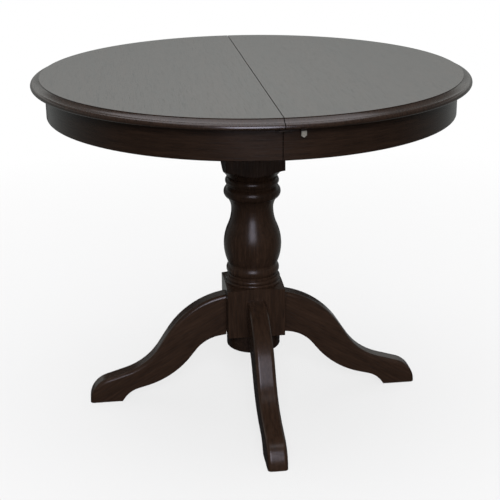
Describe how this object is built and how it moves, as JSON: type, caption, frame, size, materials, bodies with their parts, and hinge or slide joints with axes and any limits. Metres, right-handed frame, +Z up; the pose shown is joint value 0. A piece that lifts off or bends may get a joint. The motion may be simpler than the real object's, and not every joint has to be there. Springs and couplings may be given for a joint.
{
  "type": "extending round pedestal table",
  "caption": "Round pedestal dining table in dark wood with a moulded top that parts on geared slides for a stored folding leaf, a turned column and curved legs.",
  "frame": {"origin": "on the floor, under the middle of the column", "axes": "+Z up, the top opens along X, the split lies along Y and the front is at -Y"},
  "size_m": [0.915, 0.915, 0.745],
  "materials": {
    "dark_wood": "satin",
    "pale_wood": "matte",
    "steel": "zinc plated",
    "nickel": "satin nickel",
    "brass": "satin",
    "nylon": "matte",
    "felt": "felt"
  },
  "bodies": {
    "base": {"column": "dark_wood", "boss_cap": "dark_wood", "front_leg": "dark_wood", "rear_leg": "dark_wood", "left_leg": "dark_wood", "right_leg": "dark_wood", "leg_dowels": "pale_wood", "leg_bolts": "steel", "leg_washers": "steel", "leg_nuts": "steel", "foot_glides": "nylon", "pedestal_plate": "pale_wood", "column_screws": "steel", "left_bearer": "pale_wood", "right_bearer": "pale_wood", "plate_screws": "steel", "front_fixed_rail": "pale_wood", "rear_fixed_rail": "pale_wood", "fixed_rail_screws": "steel", "front_pinion_axle": "steel", "rear_pinion_axle": "steel", "stop_pins": "steel", "leaf_rests": "felt", "leaf_lower_panel": "dark_wood", "leaf_upper_panel": "dark_wood", "leaf_lower_hinge_plates": "brass", "leaf_upper_hinge_plates": "brass", "leaf_hinge_pins": "brass", "leaf_hinge_screws": "brass", "leaf_alignment_pins": "brass"},
    "right_half": {"right_top": "dark_wood", "right_apron": "dark_wood", "right_front_rail": "pale_wood", "right_rear_rail": "pale_wood", "right_front_rack": "nylon", "right_rear_rack": "nylon", "right_rail_screws": "steel", "right_apron_blocks": "pale_wood", "right_alignment_pins": "brass", "front_lock_plate": "nickel", "front_lock_pivot": "nickel", "rear_keeper": "nickel", "right_lock_screws": "nickel"},
    "left_half": {"left_top": "dark_wood", "left_apron": "dark_wood", "left_front_rail": "pale_wood", "left_rear_rail": "pale_wood", "left_front_rack": "nylon", "left_rear_rack": "nylon", "left_rail_screws": "steel", "left_apron_blocks": "pale_wood", "left_alignment_pins": "brass", "rear_lock_plate": "nickel", "rear_lock_pivot": "nickel", "front_keeper": "nickel", "left_lock_screws": "nickel"},
    "front_pinion": {"front_pinion": "nylon"},
    "rear_pinion": {"rear_pinion": "nylon"},
    "front_lock_lever": {"front_lock_lever": "nickel"},
    "rear_lock_lever": {"rear_lock_lever": "nickel"}
  },
  "joints": [
    {"name": "right_slide", "type": "slide", "parent": "base", "child": "right_half", "axis": [1, 0, 0], "range_m": [0, 0.1525]},
    {"name": "left_slide", "type": "slide", "parent": "base", "child": "left_half", "axis": [-1, 0, 0], "range_m": [0, 0.1525]},
    {"name": "front_pinion_spin", "type": "hinge", "parent": "base", "child": "front_pinion", "pos_m": [0, -0.274, 0.693], "axis": [0, 0, -1], "range_deg": [0, 500]},
    {"name": "rear_pinion_spin", "type": "hinge", "parent": "base", "child": "rear_pinion", "pos_m": [0, 0.274, 0.693], "axis": [0, 0, -1], "range_deg": [0, 500]},
    {"name": "front_lock_turn", "type": "hinge", "parent": "right_half", "child": "front_lock_lever", "pos_m": [0.012, -0.441, 0.724], "axis": [0, 0, -1], "range_deg": [0, 20]},
    {"name": "rear_lock_turn", "type": "hinge", "parent": "left_half", "child": "rear_lock_lever", "pos_m": [-0.012, 0.441, 0.724], "axis": [0, 0, -1], "range_deg": [0, 20]}
  ],
  "couplings": [
    {"joint": "left_slide", "follows": "right_slide", "ratio": 1},
    {"joint": "front_pinion_spin", "follows": "right_slide", "rad_per_m": 57.143},
    {"joint": "rear_pinion_spin", "follows": "right_slide", "rad_per_m": 57.143}
  ]
}
